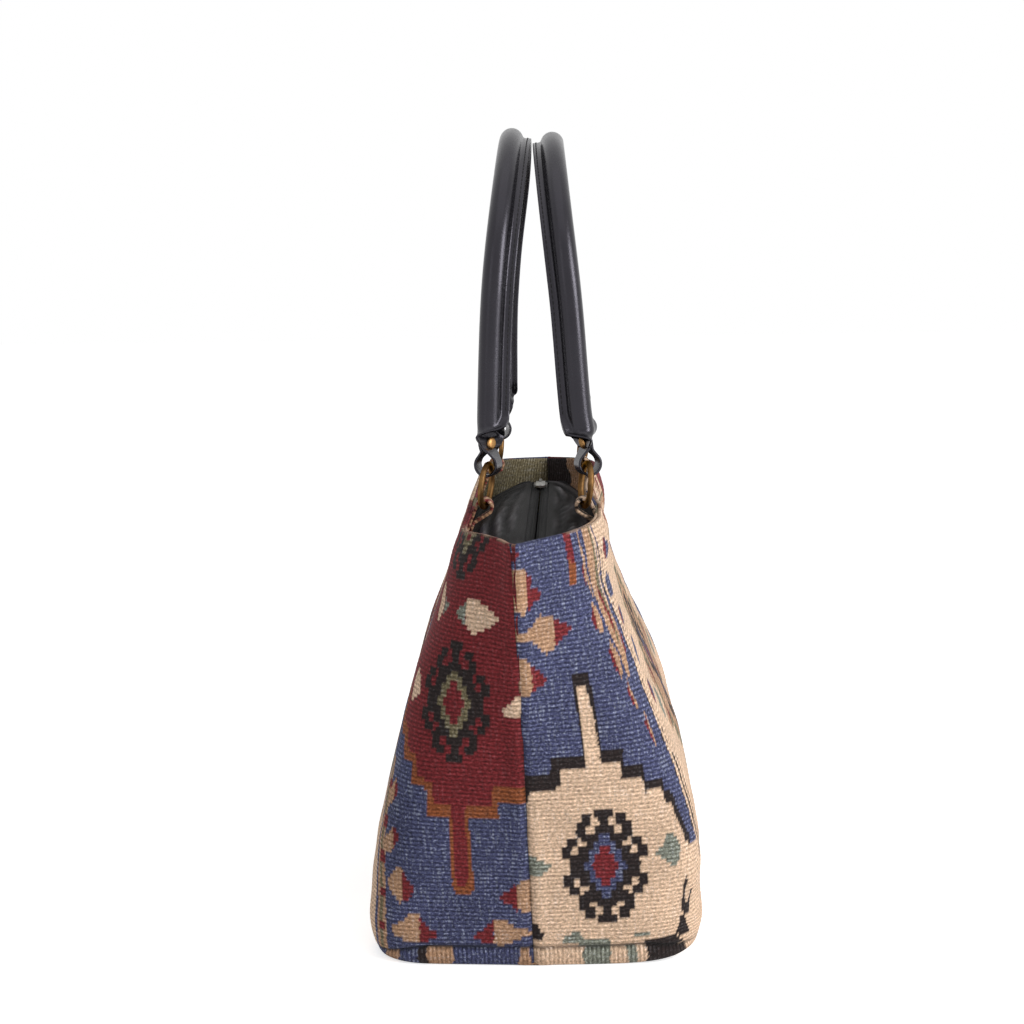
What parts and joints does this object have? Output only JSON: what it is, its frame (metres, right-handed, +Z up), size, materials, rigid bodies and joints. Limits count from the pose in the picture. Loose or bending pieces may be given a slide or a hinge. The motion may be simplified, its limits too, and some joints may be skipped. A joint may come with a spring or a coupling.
{
  "type": "tote handbag",
  "caption": "Soft cloth tote handbag with a wide flat base, recessed zip closure and rolled leather handles that swing on metal rings.",
  "frame": {"origin": "centre of the base, on the surface that the bag stands on", "axes": "+X along the length towards the closed end of the zip, +Y from front to back, +Z up"},
  "size_m": [0.4, 0.2166, 0.5138],
  "materials": {
    "patterned_cloth": "coarse ribbed weave with a woven kilim pattern in red, slate blue, beige, brown and olive",
    "lining_cloth": "thin plain weave",
    "closure_cloth": "matt black cotton twill",
    "zip_teeth": "moulded black teeth",
    "zip_metal": "polished nickel",
    "antique_brass": "antique brass, darkened with bright edges",
    "black_leather": "smooth satin black leather with fine grain",
    "cord_filler": "soft cotton cord"
  },
  "bodies": {
    "bag": {"front_panel": "patterned_cloth", "back_panel": "patterned_cloth", "front_facing": "patterned_cloth", "back_facing": "patterned_cloth", "front_lining": "lining_cloth", "back_lining": "lining_cloth", "front_zip_panel": "closure_cloth", "back_zip_panel": "closure_cloth", "front_zip_tape": "closure_cloth", "back_zip_tape": "closure_cloth", "front_zip_teeth": "zip_teeth", "back_zip_teeth": "zip_teeth", "zip_stops": "zip_metal", "front_left_loop": "patterned_cloth", "front_right_loop": "patterned_cloth", "back_left_loop": "patterned_cloth", "back_right_loop": "patterned_cloth"},
    "front_left_ring": {"front_left_ring": "antique_brass"},
    "front_right_ring": {"front_right_ring": "antique_brass"},
    "back_left_ring": {"back_left_ring": "antique_brass"},
    "back_right_ring": {"back_right_ring": "antique_brass"},
    "front_handle": {"front_handle": "black_leather", "front_handle_cord": "cord_filler", "front_rivets": "antique_brass"},
    "back_handle": {"back_handle": "black_leather", "back_handle_cord": "cord_filler", "back_rivets": "antique_brass"},
    "zip_slider": {"zip_slider": "zip_metal"},
    "zip_pull": {"zip_pull": "zip_metal"}
  },
  "joints": [
    {"name": "front_left_ring_swing", "type": "hinge", "parent": "bag", "child": "front_left_ring", "pos_m": [-0.1, -0.03089, 0.28045], "axis": [1, 0, 0], "range_deg": [0, 60]},
    {"name": "front_right_ring_swing", "type": "hinge", "parent": "bag", "child": "front_right_ring", "pos_m": [0.1, -0.03089, 0.28045], "axis": [1, 0, 0], "range_deg": [0, 60]},
    {"name": "back_left_ring_swing", "type": "hinge", "parent": "bag", "child": "back_left_ring", "pos_m": [-0.1, 0.03089, 0.28045], "axis": [-1, 0, 0], "range_deg": [0, 76]},
    {"name": "back_right_ring_swing", "type": "hinge", "parent": "bag", "child": "back_right_ring", "pos_m": [0.1, 0.03089, 0.28045], "axis": [-1, 0, 0], "range_deg": [0, 76]},
    {"name": "front_handle_swing", "type": "hinge", "parent": "front_left_ring", "child": "front_handle", "pos_m": [-0.1, -0.03368, 0.3069], "axis": [1, 0, 0], "range_deg": [0, 97]},
    {"name": "back_handle_swing", "type": "hinge", "parent": "back_left_ring", "child": "back_handle", "pos_m": [-0.1, 0.02811, 0.3069], "axis": [-1, 0, 0], "range_deg": [0, 75]},
    {"name": "zip_slide", "type": "slide", "parent": "bag", "child": "zip_slider", "axis": [-1, 0, 0], "range_m": [0, 0.3]},
    {"name": "zip_pull_flip", "type": "hinge", "parent": "zip_slider", "child": "zip_pull", "pos_m": [0.158, 0, 0.2593], "axis": [0, 1, 0], "range_deg": [0, 165]}
  ],
  "couplings": [
    {"joint": "front_right_ring_swing", "follows": "front_left_ring_swing", "ratio": 1},
    {"joint": "back_right_ring_swing", "follows": "back_left_ring_swing", "ratio": 1}
  ]
}
